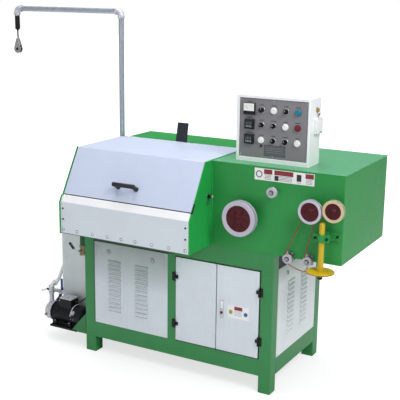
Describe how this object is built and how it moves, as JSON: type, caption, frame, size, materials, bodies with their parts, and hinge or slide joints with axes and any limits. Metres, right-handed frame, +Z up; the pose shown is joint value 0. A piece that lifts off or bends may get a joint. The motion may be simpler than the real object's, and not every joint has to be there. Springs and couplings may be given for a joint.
{
  "type": "wire drawing machine",
  "caption": "Wire drawing machine: gear housing and lidded drawing chamber on a louvred cabinet, with control box, take-off wheels, overhead pulley arm and coolant pump.",
  "frame": {"origin": "middle of the front left foot, on the floor", "axes": "+X to the machine's right along its front, +Y back from the front face, +Z up"},
  "size_m": [2.528, 0.95, 2.0874],
  "materials": {
    "housing_green": "satin enamel with a little wear",
    "frame_green": "satin enamel with a little wear",
    "bracket_green": "satin enamel, darker",
    "panel_white": "satin enamel",
    "cover_white": "satin enamel",
    "face_grey": "satin enamel",
    "box_white": "satin enamel",
    "slate": "dark enamel",
    "hinge_steel": "plain steel",
    "lever_steel": "bright zinc, with a black grip",
    "black_plastic": "matt",
    "white_plastic": "glossy",
    "blue_green_plastic": "glossy",
    "red_plastic": "glossy",
    "socket_white": "satin",
    "wheel_violet": "satin enamel",
    "roller_grey": "satin enamel",
    "roller_beige": "satin enamel",
    "disc_red": "glossy enamel",
    "pulley_white": "satin",
    "stud_steel": "plain steel",
    "belt": "matt, red-brown",
    "stem_yellow": "satin enamel",
    "pipe_grey": "grey-blue coat on galvanised pipe",
    "elbow_white": "satin",
    "block_silver": "cast and lightly polished",
    "sheave_dark": "matt",
    "tank_grey": "satin enamel",
    "motor_black": "black paint on cast iron",
    "casing_silver": "cast",
    "pipe_white": "satin",
    "brass": "dull",
    "cable_black": "matt",
    "latch_grey": "satin"
  },
  "bodies": {
    "base": {"frame_posts": "frame_green", "frame_rails": "frame_green", "cabinet_floor": "frame_green", "front_panel": "panel_white", "right_panel": "panel_white", "plain_panels": "panel_white", "post_hinges": "black_plastic", "gear_housing": "housing_green", "rear_housing": "housing_green", "chamber_tub": "housing_green", "apron": "cover_white", "lid_hinge_base": "hinge_steel", "lid_backstop": "slate", "control_box": "box_white", "control_face": "face_grey", "panel_instruments": "black_plastic", "white_buttons": "white_plastic", "green_button": "blue_green_plastic", "red_button": "red_plastic", "panel_selectors": "black_plastic", "side_fittings": "socket_white", "wheel_studs": "stud_steel", "drive_belt": "belt", "guide_stem": "stem_yellow", "stem_disc": "stem_yellow", "stem_clamp": "housing_green", "gantry_post": "pipe_grey", "gantry_arm": "pipe_grey", "gantry_elbows": "elbow_white", "gantry_hanger": "pipe_grey", "pulley_block": "block_silver", "pipe_clamps": "bracket_green", "left_brackets": "bracket_green", "pump_motor": "motor_black", "pump_casing": "casing_silver", "delivery_pipe": "pipe_white", "coolant_tank": "tank_grey", "drain_valve": "brass", "motor_cable": "cable_black", "cable_glands": "black_plastic"},
    "lid": {"lid": "cover_white", "lid_handle": "black_plastic", "lid_hinge_leaves": "hinge_steel"},
    "left_door": {"left_door": "panel_white", "left_door_hinges": "black_plastic"},
    "right_door": {"right_door": "panel_white", "right_door_hinges": "black_plastic", "door_latch": "latch_grey"},
    "capstan": {"capstan_rim": "wheel_violet", "capstan_disc": "disc_red"},
    "left_roller": {"left_roller_rim": "roller_grey", "left_roller_disc": "disc_red"},
    "right_roller": {"right_roller_rim": "roller_beige", "right_roller_disc": "disc_red"},
    "guide_pulley": {"guide_pulley": "pulley_white"},
    "left_belt_pulley": {"left_belt_pulley": "pulley_white"},
    "right_belt_pulley": {"right_belt_pulley": "pulley_white"},
    "block_sheave": {"block_sheave": "sheave_dark"},
    "valve_lever": {"valve_lever": "lever_steel"}
  },
  "joints": [
    {"name": "lid_hinge", "type": "hinge", "parent": "base", "child": "lid", "pos_m": [0.4155, 0.336, 1.3015], "axis": [-1, 0, 0], "range_deg": [0, 102]},
    {"name": "left_door_hinge", "type": "hinge", "parent": "base", "child": "left_door", "pos_m": [0.611, -0.0455, 0.449], "axis": [0, 0, -1], "range_deg": [0, 110]},
    {"name": "right_door_hinge", "type": "hinge", "parent": "base", "child": "right_door", "pos_m": [1.15, -0.0455, 0.449], "axis": [0, 0, 1], "range_deg": [0, 110]},
    {"name": "capstan_spin", "type": "hinge", "parent": "base", "child": "capstan", "pos_m": [1.0455, -0.0975, 1.012], "axis": [0, -1, 0], "continuous": true},
    {"name": "left_roller_spin", "type": "hinge", "parent": "base", "child": "left_roller", "pos_m": [1.4525, -0.0975, 1.105], "axis": [0, -1, 0], "continuous": true},
    {"name": "right_roller_spin", "type": "hinge", "parent": "base", "child": "right_roller", "pos_m": [1.5785, -0.0975, 1.124], "axis": [0, -1, 0], "continuous": true},
    {"name": "guide_pulley_spin", "type": "hinge", "parent": "base", "child": "guide_pulley", "pos_m": [1.2305, -0.0965, 1.177], "axis": [0, -1, 0], "continuous": true},
    {"name": "left_belt_pulley_spin", "type": "hinge", "parent": "base", "child": "left_belt_pulley", "pos_m": [1.3215, -0.0755, 0.824], "axis": [0, -1, 0], "continuous": true},
    {"name": "right_belt_pulley_spin", "type": "hinge", "parent": "base", "child": "right_belt_pulley", "pos_m": [1.434, -0.0755, 0.826], "axis": [0, -1, 0], "continuous": true},
    {"name": "block_sheave_spin", "type": "hinge", "parent": "base", "child": "block_sheave", "pos_m": [-0.8635, 0.3795, 1.804], "axis": [0, -1, 0], "continuous": true},
    {"name": "valve_lever_turn", "type": "hinge", "parent": "base", "child": "valve_lever", "pos_m": [0.0235, -0.1633, 0.683], "axis": [0, -1, 0], "range_deg": [0, 90]}
  ]
}
